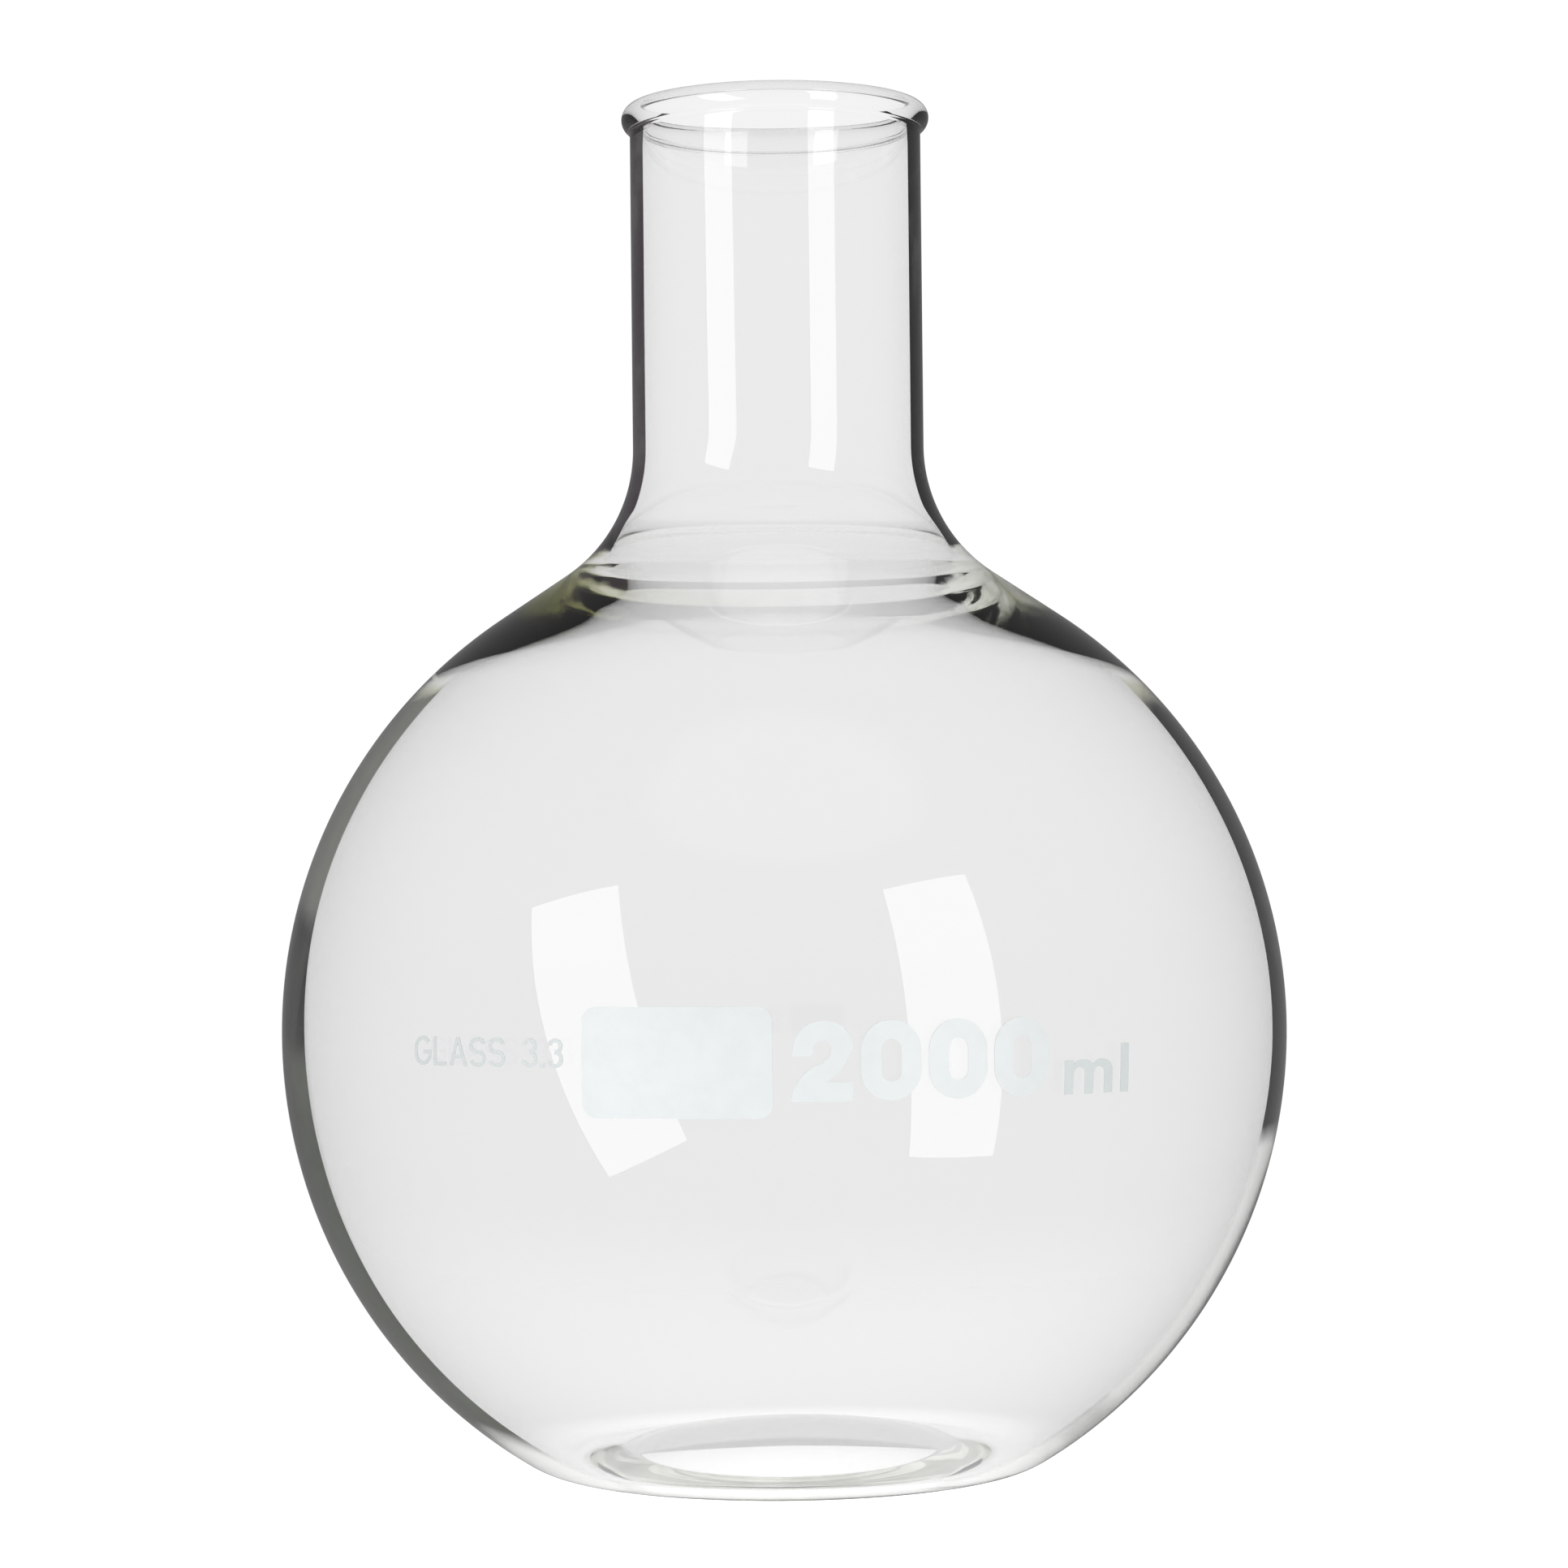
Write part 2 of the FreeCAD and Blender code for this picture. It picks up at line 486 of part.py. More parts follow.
def make_nought(doc, size, band, label, place):
    """A bold nought: one upright slot inside another."""
    body = make_body(doc, label + "_prism")
    sketch = add_sketch(body, label + "_outline")
    middle = size.figure_height / 2
    counter_width = size.figure_width - 2 * size.figure_side
    counter_height = size.figure_height - 2 * size.figure_cap
    for width, tall, width_rule, tall_rule in (
        (size.figure_width, size.figure_height, "Sizes.figure_width / 2", "Sizes.figure_height"),
        (counter_width, counter_height, "Sizes.figure_width / 2 - Sizes.figure_side",
         "Sizes.figure_height - 2 * Sizes.figure_cap"),
    ):
        half, run = width / 2, tall / 2 - width / 2
        top = add_arc(sketch, (0, middle + run), half, 0, math.pi)
        left = add_line(sketch, (-half, middle + run), (-half, middle - run))
        bottom = add_arc(sketch, (0, middle - run), half, math.pi, 2 * math.pi)
        right = add_line(sketch, (half, middle - run), (half, middle + run))
        rule(sketch, "Tangent", top, END, left, START)
        rule(sketch, "Tangent", left, END, bottom, START)
        rule(sketch, "Tangent", bottom, END, right, START)
        rule(sketch, "Tangent", right, END, top, START)
        rule(sketch, "Vertical", left)
        rule(sketch, "PointOnObject", top, CENTRE, UPRIGHT)
        rule(sketch, "PointOnObject", bottom, CENTRE, UPRIGHT)
        drive(sketch, "Radius", (top,), half, width_rule)
        drive(
            sketch, "DistanceY", (bottom, CENTRE), middle - run,
            f"(Sizes.figure_height - ({tall_rule})) / 2 + {width_rule}"
        )
        drive(
            sketch, "DistanceY", (top, CENTRE), middle + run,
            f"(Sizes.figure_height + ({tall_rule})) / 2 - ({width_rule})"
        )
    place_sketch(sketch, "0", "Sizes.figure_foot")
    pad(body, sketch)
    return cut_mark(doc, label, band, body, f"Sizes.figure_azimuth + {place} * Sizes.figure_pitch")


def make_character(doc, size, band, label, outlines, width, alias, foot, azimuth):
    """A character from one or more overlapping outlines, each padded in turn."""
    body = make_body(doc, label + "_prism")
    height = getattr(size, alias)
    for number, outline in enumerate(outlines, start=1):
        sketch = add_sketch(body, f"{label}_outline_{number}")
        draw_outline(sketch, outline, height, alias)
        place_sketch(sketch, f"-Sizes.{alias} * {width / 2:.6f}", foot)
        pad(body, sketch)
    return cut_mark(doc, label, band, body, azimuth)


def make_capacity(doc, size, band):
    """The figures 2000 and the unit ml, on one line."""
    def share(points, height):
        return [(x / height, y / height, bulge) for x, y, bulge in points]

    marks = [make_character(
        doc, size, band, "figure_2", [share(TWO, size.figure_height)],
        size.figure_width / size.figure_height, "figure_height", "Sizes.figure_foot", "Sizes.figure_azimuth"
    )]
    for place, name in enumerate(("figure_0_first", "figure_0_second", "figure_0_third"), start=1):
        marks.append(make_nought(doc, size, band, name, place))
    for name, points in (("unit_m", SMALL_M), ("unit_l", SMALL_L)):
        width = max(point[0] for point in points) / size.unit_height
        marks.append(make_character(
            doc, size, band, name, [share(points, size.unit_height)],
            width, "unit_height", "Sizes.figure_foot", f"Sizes.{name}_azimuth"
        ))
    return marks


def letter_outlines(letter):
    if letter == "A":
        return [[(x, y, 0) for x, y in LEGS_OF_A], ribbon_outline(RIBBONS["crossbar"][0])]
    if letter == ".":
        return [[(x, y, 0) for x, y in POINT]]
    return [ribbon_outline(path) for path in RIBBONS[letter]]


def make_grade(doc, size, band):
    """The glass grade, GLASS 3.3, in small thin letters set out from its left end."""
    letters = (
        ("grade_g", "G", 0), ("grade_l", "L", 0), ("grade_a", "A", 0), ("grade_s_first", "S", 0),
        ("grade_s_second", "S", 0), ("grade_3_first", "3", WORD_SPACE), ("grade_point", ".", 0),
        ("grade_3_second", "3", 0),
    )
    marks = []
    reached = 0
    for name, letter, extra in letters:
        width = LETTER_WIDTH[letter]
        reached += extra
        middle = (reached + width / 2) * DEGREES_PER_RADIAN
        marks.append(make_character(
            doc, size, band, name, letter_outlines(letter), width, "grade_height", "Sizes.grade_foot",
            f"Sizes.grade_azimuth + Sizes.grade_height / Sizes.globe_radius * {middle:.6f}"
        ))
        reached += width + LETTER_GAP
    return marks


# ---- the flask ------------------------------------------------------------------

def check(doc, parts):
    for item in doc.Objects:
        if "Invalid" in item.State or "Error" in item.State:
            raise RuntimeError(f"{item.Label} failed: {item.State}")
    for part in parts:
        if part.Shape.isNull() or not part.Shape.isValid():
            raise RuntimeError(f"{part.Label} has no valid shape")
        print(f"{part.Label}: {len(part.Shape.Solids)} solid, {part.Shape.Volume:.2f} mm3")


def main():
    doc = FreeCAD.newDocument("flask")
    size = make_sheet(doc)
    band = make_enamel_band(doc, size)
    parts = [make_bulb(doc, size), make_neck(doc, size), make_writing_field(doc, size, band)]
    parts += make_capacity(doc, size, band)
    parts += make_grade(doc, size, band)
    doc.recompute()
    check(doc, parts)
    os.makedirs("parts", exist_ok=True)
    for part in parts:
        part.Shape.exportStep(f"parts/{part.Label}.step")


main()
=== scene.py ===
"""Boiling flask: a blown glass globe on a small flat base, with a straight beaded neck.

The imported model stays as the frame. The glass is turned here as one closed piece, and
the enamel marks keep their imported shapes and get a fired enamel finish.
"""

import math

import bmesh
import bpy
from mathutils import Matrix, Vector


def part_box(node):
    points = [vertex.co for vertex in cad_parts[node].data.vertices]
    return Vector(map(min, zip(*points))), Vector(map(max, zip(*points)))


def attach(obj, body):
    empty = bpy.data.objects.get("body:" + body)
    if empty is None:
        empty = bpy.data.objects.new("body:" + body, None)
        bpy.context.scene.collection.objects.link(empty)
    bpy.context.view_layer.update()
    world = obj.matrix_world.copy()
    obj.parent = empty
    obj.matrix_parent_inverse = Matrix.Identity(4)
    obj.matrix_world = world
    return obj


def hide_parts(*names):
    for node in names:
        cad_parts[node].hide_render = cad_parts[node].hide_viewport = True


bl_info = {
    "name": "Boiling Flask",
    "version": (1, 0, 0),
    "blender": (4, 5, 0),
    "location": "View3D > Sidebar > Flask",
    "description": "Builds a round glass flask with enamel marks and its studio",
    "category": "Add Mesh",
}

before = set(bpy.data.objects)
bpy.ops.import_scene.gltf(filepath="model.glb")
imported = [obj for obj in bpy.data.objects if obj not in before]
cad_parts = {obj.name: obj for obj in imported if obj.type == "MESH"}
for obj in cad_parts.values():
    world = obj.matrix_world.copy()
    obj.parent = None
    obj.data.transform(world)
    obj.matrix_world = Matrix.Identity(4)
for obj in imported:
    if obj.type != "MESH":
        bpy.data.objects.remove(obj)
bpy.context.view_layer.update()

MM = 0.001
TURNS = 256                 # steps round the axis
MARKS = sorted(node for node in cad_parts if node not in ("bulb", "neck"))
SMALL_MARKS = [name for name in MARKS if name.startswith(("grade_", "unit_"))]

BULB_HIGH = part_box("bulb")[1]
NECK_LOW, NECK_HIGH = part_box("neck")

# Base, in millimetres: how far its middle is pushed up, the inner radius of the ring it
# stands on, its glass, and the radius of the push-up's curve.
PUSH_UP, RING, BASE_WALL = 3.0, 27.0, 4.0
KICK = (RING ** 2 + PUSH_UP ** 2) / (2 * PUSH_UP)

# Light turned back inside the glass: its least lean, as a Facing weight, and the painted
# reflections, mostly dark, that it is given on the left and right in place of dark surroundings,
# as (share of the flask's height, colour) from the bench up.
CRITICAL_LEAN = 0.262
WHITE, CLEAR, PALE = (1.0, 1.0, 1.0), (1.0, 1.0, 0.99), (0.78, 0.78, 0.66)
GREEN, SMOKE, PAINTED_STREAK = (0.13, 0.14, 0.12), (0.28, 0.28, 0.26), (0.30, 0.31, 0.28)
BLACK, PLUM, SHOULDER_PAINTED_LIGHT = (0.015, 0.012, 0.015), (0.055, 0.040, 0.052), (0.97, 0.97, 0.955)
LEFT_PAINTED_REFLECTION = (
    (0.03, CLEAR), (0.05, GREEN), (0.20, GREEN), (0.31, GREEN), (0.325, BLACK), (0.40, BLACK),
    (0.415, SMOKE), (0.555, SMOKE), (0.565, PALE), (0.578, PALE), (0.585, PLUM), (0.615, PLUM),
    (0.622, PALE), (0.652, PALE), (0.660, PLUM), (1.0, PLUM))
RIGHT_PAINTED_REFLECTION = (
    (0.03, CLEAR), (0.05, CLEAR), (0.235, CLEAR), (0.25, BLACK), (0.545, BLACK), (0.56, PALE),
    (0.575, PALE), (0.585, GREEN), (0.612, GREEN), (0.62, CLEAR), (0.655, CLEAR), (0.662, BLACK),
    (1.0, BLACK))
SHELL_HEAD_ON, SHELL_EDGE = (0.966, 0.967, 0.966), (0.93, 0.93, 0.93)

# Each softbox: name, azimuth, elevation and roll in degrees, width and height in metres,
# and watts.
SOFTBOXES = (
    ("softbox_right", 36.5, 4, 3, 0.44, 1.30, 6.5),
    ("softbox_left", -41, 2, 19, 0.46, 1.28, 6.8),
)
# Brightness of the room: for scattered light, and, as (rise of the ray from, to, level
# there, level there), for reflected light and for light that has come through glass.
ROOM_LEVEL, BACKDROP_LEVEL = 0.5, 1.02
REFLECTED_LEVEL = (-0.9, 0.9, 0.30, 0.16)
THROUGH_LEVEL = (-0.25, 0.30, 0.96, 1.0)


# ---- sizes and colours that a user may change -----------------------------------

class FlaskGlassSettings(bpy.types.PropertyGroup):
    """Sizes and refraction of the blown glass."""
    film_gap: bpy.props.FloatProperty(
        name="Enamel gap", description="How far the glass lies under the enamel marks",
        default=0.00003, subtype="DISTANCE", unit="LENGTH", precision=6)
    globe_radius: bpy.props.FloatProperty(
        name="Globe radius", description="Outside radius at the equator",
        default=BULB_HIGH.x, subtype="DISTANCE", unit="LENGTH", precision=4)
    globe_height: bpy.props.FloatProperty(
        name="Equator height", description="Height of the equator above the bench",
        default=0.0728, subtype="DISTANCE", unit="LENGTH", precision=4)
    globe_wall: bpy.props.FloatProperty(
        name="Globe wall", description="Glass thickness at the equator",
        default=0.0026, subtype="DISTANCE", unit="LENGTH", precision=4)
    flare_height: bpy.props.FloatProperty(
        name="Neck foot", description="Height where the flare becomes the straight neck",
        default=NECK_LOW.z, subtype="DISTANCE", unit="LENGTH", precision=4)
    flask_height: bpy.props.FloatProperty(
        name="Flask height", description="Height of the rim",
        default=NECK_HIGH.z, subtype="DISTANCE", unit="LENGTH", precision=4)
    neck_radius: bpy.props.FloatProperty(
        name="Neck radius", description="Outside radius of the neck",
        default=0.0242, subtype="DISTANCE", unit="LENGTH", precision=4)
    neck_wall: bpy.props.FloatProperty(
        name="Neck wall", description="Glass thickness of the neck",
        default=0.002, subtype="DISTANCE", unit="LENGTH", precision=4)
    drift: bpy.props.FloatProperty(
        name="Wall drift", description="How far the blown inside sits off the middle",
        default=0.0004, subtype="DISTANCE", unit="LENGTH", precision=5)
    ior: bpy.props.FloatProperty(
        name="Refractive index", description="Refractive index of borosilicate glass",
        default=1.474, min=1.0, max=2.0)


class FlaskEnamelSettings(bpy.types.PropertyGroup):
    """Finish of the fired enamel marks."""
    colour: bpy.props.FloatVectorProperty(
        name="Enamel", description="Colour of the fired enamel",
        default=(0.70, 0.73, 0.735), subtype="COLOR", size=3, min=0.0, max=1.0)
    roughness: bpy.props.FloatProperty(
        name="Roughness", description="Roughness of the fired enamel",
        default=0.42, min=0.0, max=1.0, subtype="FACTOR")
    cover: bpy.props.FloatProperty(
        name="Cover", description="How much of the glass the large marks hide",
        default=1.0, min=0.0, max=1.0, subtype="FACTOR")
    small_cover: bpy.props.FloatProperty(
        name="Small mark cover", description="How much of the glass the small marks hide",
        default=0.62, min=0.0, max=1.0, subtype="FACTOR")


class FlaskStudioSettings(bpy.types.PropertyGroup):
    """Camera, floor and lights."""
    camera_distance: bpy.props.FloatProperty(
        name="Camera distance", description="From the middle of the globe to the camera",
        default=0.7096, subtype="DISTANCE", unit="LENGTH", precision=4)
    camera_rise: bpy.props.FloatProperty(
        name="Camera rise", description="Elevation of the camera seen from the globe",
        default=math.radians(2.5), subtype="ANGLE", unit="ROTATION")
    camera_pitch: bpy.props.FloatProperty(
        name="Camera pitch", description="How far the camera looks above the horizontal",
        default=math.radians(0.776), subtype="ANGLE", unit="ROTATION")
    camera_yaw: bpy.props.FloatProperty(
        name="Camera yaw", description="How far the camera looks to its left",
        default=math.radians(-0.030), subtype="ANGLE", unit="ROTATION")
    camera_roll: bpy.props.FloatProperty(
        name="Camera roll", description="Turn of the camera about its own axis",
        default=math.radians(0.6), subtype="ANGLE", unit="ROTATION")
    lens: bpy.props.FloatProperty(
        name="Lens", description="Focal length on a 36 mm sensor", default=97.83,
        subtype="DISTANCE_CAMERA", unit="CAMERA")
    floor_radius: bpy.props.FloatProperty(
        name="Floor radius", description="Radius of the pale floor",
        default=0.6, subtype="DISTANCE", unit="LENGTH")
    light_distance: bpy.props.FloatProperty(
        name="Softbox distance", description="From the middle of the globe to each softbox",
        default=1.2, subtype="DISTANCE", unit="LENGTH")


# ---- small helpers --------------------------------------------------------------

def new_object(name, mesh):
    piece = bpy.data.objects.new(name, mesh)
    bpy.context.scene.collection.objects.link(piece)
    return piece


def new_material(name):
    material = bpy.data.materials.new(name)
    material.use_nodes = True
    material.node_tree.nodes.clear()
    return material


class NodeSheet:
    """Adds nodes to one tree and joins their sockets."""

    def __init__(self, tree):
        self.tree = tree

    def add(self, kind, inputs=None, **settings):
        node = self.tree.nodes.new(kind)
        for key, value in settings.items():
            setattr(node, key, value)
        for key, value in (inputs or {}).items():
            if isinstance(value, bpy.types.NodeSocket):
                self.tree.links.new(value, node.inputs[key])
            else:
                node.inputs[key].default_value = value
        return node

    def math(self, operation, *numbers):
        return self.add("ShaderNodeMath", dict(enumerate(numbers)), operation=operation).outputs[0]

    def ramp(self, value, low, high, start=0.0, end=1.0):
        """Smooth step of value from low to high."""
        return self.add("ShaderNodeMapRange", {
            "Value": value, "From Min": low, "From Max": high, "To Min": start, "To Max": end,
        }, interpolation_type="SMOOTHSTEP").outputs[0]

    def blend(self, share, first, second):
        """Number that goes from first to second as share goes from 0 to 1."""
        mix = self.add("ShaderNodeMix", {0: share, 2: first, 3: second}, data_type="FLOAT")
        return mix.outputs[0]

    def gradient(self, value, stops):
        """Colour ramp through (position, colour) stops."""
        node = self.add("ShaderNodeValToRGB", {0: value})
        marks = node.color_ramp.elements
        marks[0].position, marks[1].position = stops[0][0], stops[-1][0]
        for place, _ in stops[1:-1]:
            marks.new(place)
        for mark, (place, colour) in zip(marks, stops):
            mark.color = (*colour, 1.0)
        return node.outputs[0]

    def mix_colour(self, share, first, second):
        """Colour that goes from first to second as share goes from 0 to 1."""
        ends = (value if isinstance(value, bpy.types.NodeSocket) else (*value, 1.0)
                for value in (first, second))
        mix = self.add("ShaderNodeMix", {0: share, 6: next(ends), 7: next(ends)}, data_type="RGBA")
        return mix.outputs[2]


# ---- the glass ------------------------------------------------------------------

class Profile:
    """One line in the X-Z plane, drawn by turning and sliding a single vertex."""

    def __init__(self, bm, start):
        self.bm = bm
        self.tip = bm.verts.new((start[0], 0, start[1]))

    @property
    def place(self):
        return self.tip.co.x, self.tip.co.z

    def turn(self, centre, degrees, steps):
        """Arc about centre, clockwise when degrees is positive."""
        out = bmesh.ops.spin(
            self.bm, geom=[self.tip], cent=(centre[0], 0, centre[1]), axis=(0, 1, 0),
            angle=math.radians(degrees), steps=steps)
        self.tip = next(item for item in out["geom_last"] if isinstance(item, bmesh.types.BMVert))

    def line(self, end, steps=1):
        """Straight run to end."""
        start = self.place
        for step in range(1, steps + 1):
            out = bmesh.ops.extrude_vert_indiv(self.bm, verts=[self.tip])
            self.tip = out["verts"][0]
            share = step / steps
            self.tip.co = (
                start[0] + (end[0] - start[0]) * share, 0, start[1] + (end[1] - start[1]) * share)


def tangent_slope(first, first_radius, second, second_radius):
    """Direction, in degrees, of the normal that two circles' inner tangent shares."""
    span = math.dist(first, second)
    lean = math.atan2(second[1] - first[1], second[0] - first[0])
    return math.degrees(lean - math.acos((first_radius + second_radius) / span))


def draw_outside(bm, size):
    """Outside of the glass, from the hollow under the base to the inner lip of the rim."""
    equator = size.globe_height / MM
    globe = (size.globe_radius - size.film_gap) / MM
    neck = size.neck_radius / MM
    foot = size.flare_height / MM
    top = size.flask_height / MM
    heel = 15.0
    heel_drop = equator - heel
    heel_x = math.sqrt((globe - heel) ** 2 - heel_drop ** 2)
    heel_angle = math.degrees(math.asin(heel_drop / (globe - heel)))
    crown_x = 1.3
    crown = globe - crown_x
    flare = 25.5
    flare_x = neck + flare
    slope = tangent_slope((crown_x, equator), crown, (flare_x, foot), flare)

    line = Profile(bm, (0, PUSH_UP))
    line.turn((0, PUSH_UP - KICK), math.degrees(math.asin(RING / KICK)), 14)
    line.line((heel_x, 0), 4)
    line.turn((heel_x, heel), heel_angle - 90, 12)
    line.turn((0, equator), -heel_angle, 44)
    line.turn((crown_x, equator), -slope, 44)
    turned = math.radians(slope)
    line.line((flare_x - flare * math.cos(turned), foot - flare * math.sin(turned)), 4)
    line.turn((flare_x, foot), slope, 26)
    # Rim: a small hollow under the bead, the bead, and the lip that turns into the bore.
    root_height, root, root_sweep = 221.4, 0.8, 47.4
    bead, bead_x, lip = 2.5, 23.1, 0.9
    bead_z = top - bead
    line.line((neck, root_height), 16)
    line.turn((neck + root, root_height), root_sweep, 4)
    lean = math.atan2(line.place[1] - bead_z, line.place[0] - bead_x)
    line.line((bead_x + bead * math.cos(lean), bead_z + bead * math.sin(lean)))
    line.turn((bead_x, bead_z), math.degrees(lean) - 90, 18)
    line.turn((bead_x, top - lip), -90, 6)
    return line


def draw_inside(line, size):
    """Inside of the glass, from the rim back down to the middle of the base."""
    equator = size.globe_height / MM
    globe = (size.globe_radius - size.globe_wall) / MM
    bore = (size.neck_radius - size.neck_wall) / MM
    # Throat: the neck's flared end is sealed into a thick ring.
    foot = size.flare_height / MM
    flare, opening, run, corner, dome_facing = 27.5, 25.0, 10.0, 5.0, 56.5
    line.line((bore, foot), 16)
    line.turn((bore + flare, foot), -opening, 12)
    tilt = math.radians(opening)
    line.line((line.place[0] + run * math.sin(tilt), line.place[1] - run * math.cos(tilt)), 8)
    centre = (line.place[0] + corner * math.cos(tilt), line.place[1] + corner * math.sin(tilt))
    line.turn(centre, opening - dome_facing, 12)
    # Shoulder: one easy curve that thins downhill and flows into the globe.
    join_angle = 44.0
    meet, slope = math.radians(join_angle), math.radians(90 - dome_facing)
    join = (globe * math.cos(meet), equator + globe * math.sin(meet))
    start = line.place
    pull = math.dist(start, join) / 3
    near = (start[0] + pull * math.cos(slope), start[1] - pull * math.sin(slope))
    far = (join[0] - pull * math.sin(meet), join[1] + pull * math.cos(meet))
    steps = 24
    for step in range(1, steps + 1):
        t = step / steps
        weights = ((1 - t) ** 3, 3 * t * (1 - t) ** 2, 3 * t * t * (1 - t), t ** 3)
        pulls = tuple(zip(weights, (start, near, far, join)))
        line.line(tuple(sum(weight * point[axis] for weight, point in pulls) for axis in (0, 1)))
    # Globe, heel and base.
    heel, kick_z, dome = 12.5, PUSH_UP - KICK, KICK + BASE_WALL
    heel_z = (dome + heel) ** 2 - (globe - heel) ** 2 + equator ** 2 - kick_z ** 2
    heel_z /= 2 * (equator - kick_z)
    heel_x = math.sqrt((globe - heel) ** 2 - (equator - heel_z) ** 2)
    heel_angle = math.degrees(math.asin((equator - heel_z) / (globe - heel)))
    dome_angle = math.degrees(math.atan2(heel_z - kick_z, heel_x))
    line.turn((0, equator), join_angle + heel_angle, 84)
    line.turn((heel_x, heel_z), 180 - dome_angle - heel_angle, 12)
    line.turn((0, kick_z), dome_angle - 90, 16)


def drift_inside(bm, inside, size):
    """Lets the wall run thicker on one side, as a blown wall does."""
    middle = size.globe_height
    reach = size.globe_radius
    for vert in inside:
        height = (vert.co.z - middle) / reach
        share = max(0.0, 1 - height ** 2) ** 0.5
        angle = math.atan2(vert.co.y, vert.co.x)
        # An oval and a three-sided wave, each twisting with height.
        ripple = 0.12 * math.sin(2 * angle + 5 * height)
        ripple += 0.08 * math.sin(3 * angle - 7 * height + 1)
        radius = math.hypot(vert.co.x, vert.co.y)
        push = size.drift * share * ripple / max(radius, reach * 0.2)
        vert.co.x += size.drift * share + push * vert.co.x
        vert.co.y += push * vert.co.y


def turn_glass(size):
    """One closed mesh; its attribute "inside" is 1 on the inner surface and 0 on the outer."""
    bm = bmesh.new()
    line = draw_outside(bm, size)
    outside = len(bm.verts)
    draw_inside(line, size)
    layer = bm.verts.layers.float.new("inside")
    for index, vert in enumerate(bm.verts):
        vert[layer] = 1.0 if index >= outside else 0.0
    bmesh.ops.scale(bm, vec=(MM, MM, MM), verts=bm.verts)
    bmesh.ops.remove_doubles(bm, verts=bm.verts, dist=1e-6)
    bmesh.ops.spin(
        bm, geom=bm.verts[:] + bm.edges[:], cent=(0, 0, 0), axis=(0, 0, 1),
        angle=math.tau, steps=TURNS, use_merge=True)
    bmesh.ops.remove_doubles(bm, verts=bm.verts, dist=1e-6)
    bmesh.ops.recalc_face_normals(bm, faces=bm.faces)
    drift_inside(bm, [vert for vert in bm.verts if vert[layer] > 0.5], size)
    for face in bm.faces:
        face.smooth = True
    mesh = bpy.data.meshes.new("flask_glass")
    bm.to_mesh(mesh)
    bm.free()
    return mesh


def glass_material(size):
    """Clear borosilicate glass with painted dark reflections on its edges where light is turned back
    inside.
    """
    material = new_material("borosilicate_glass")
    sheet = NodeSheet(material.node_tree)
    place = sheet.add("ShaderNodeTexCoord").outputs["Object"]
    split = sheet.add("ShaderNodeSeparateXYZ", {0: place})
    across, height = split.outputs[0], split.outputs[2]
    reflection_streaks = sheet.add("ShaderNodeTexNoise", {
        "Vector": place, "Scale": 34.0, "Detail": 4.0, "Roughness": 0.6, "Distortion": 0.8,
    }).outputs[0]
    # How far a ray inside the glass leans: past the critical angle it is turned back.
    lean = sheet.add("ShaderNodeLayerWeight", {"Blend": 0.5}).outputs["Facing"]
    back = sheet.add("ShaderNodeNewGeometry").outputs["Backfacing"]
    turned_back = sheet.math("MULTIPLY", sheet.math("GREATER_THAN", lean, CRITICAL_LEAN), back)
    # The painted reflections' heights wander by up to 6 mm.
    wander = sheet.math("MULTIPLY_ADD", reflection_streaks, 0.012, -0.006)
    level = sheet.math("DIVIDE", sheet.math("ADD", height, wander), NECK_HIGH.z)
    # Painted reflections: colours standing in for the dark surroundings, different on the left and
    # right, given to light turned back inside.
    left = sheet.gradient(level, LEFT_PAINTED_REFLECTION)
    right = sheet.gradient(level, RIGHT_PAINTED_REFLECTION)
    painted_edge_reflection = sheet.mix_colour(sheet.ramp(across, -0.012, 0.012), left, right)
    # Painted streaks in the dark reflections where the noise is high.
    painted_edge_reflection = sheet.mix_colour(sheet.ramp(reflection_streaks, 0.45, 0.75, 0.0, 0.35), painted_edge_reflection, PAINTED_STREAK)
    # Painted light: across a band of the thick shoulder, light turned back at a small lean gets a
    # painted near white instead of the painted dark reflection; at a glancing lean it stays dark.
    shoulder = sheet.math(
        "MULTIPLY", sheet.ramp(height, 0.1270, 0.1290), sheet.ramp(height, 0.1500, 0.1490))
    shoulder_light_share = sheet.math("MULTIPLY", shoulder, sheet.ramp(lean, 0.325, 0.300))
    painted_edge_reflection = sheet.mix_colour(shoulder_light_share, painted_edge_reflection, SHOULDER_PAINTED_LIGHT)
    inside = sheet.add("ShaderNodeAttribute", attribute_name="inside").outputs["Fac"]
    painted_edge_reflection = sheet.mix_colour(sheet.math("GREATER_THAN", inside, 0.5), WHITE, painted_edge_reflection)
    shell = sheet.mix_colour(sheet.ramp(lean, 0.25, 0.95), SHELL_HEAD_ON, SHELL_EDGE)
    tint_and_painted_reflection = sheet.mix_colour(turned_back, shell, painted_edge_reflection)
    ripple = sheet.add("ShaderNodeTexNoise", {
        "Vector": place, "Scale": 22.0, "Detail": 2.0, "Roughness": 0.45}).outputs[0]
    bump = sheet.add("ShaderNodeBump", {"Height": ripple, "Strength": 0.05, "Distance": 0.0006})
    glass = sheet.add("ShaderNodeBsdfGlass", {
        "Color": tint_and_painted_reflection, "Roughness": 0.0, "IOR": size.ior, "Normal": bump.outputs[0]})
    body = sheet.add("ShaderNodeVolumeAbsorption", {"Color": (0.50, 0.53, 0.47, 1.0), "Density": 5.0})
    sheet.add("ShaderNodeOutputMaterial", {"Surface": glass.outputs[0], "Volume": body.outputs[0]})
    return material


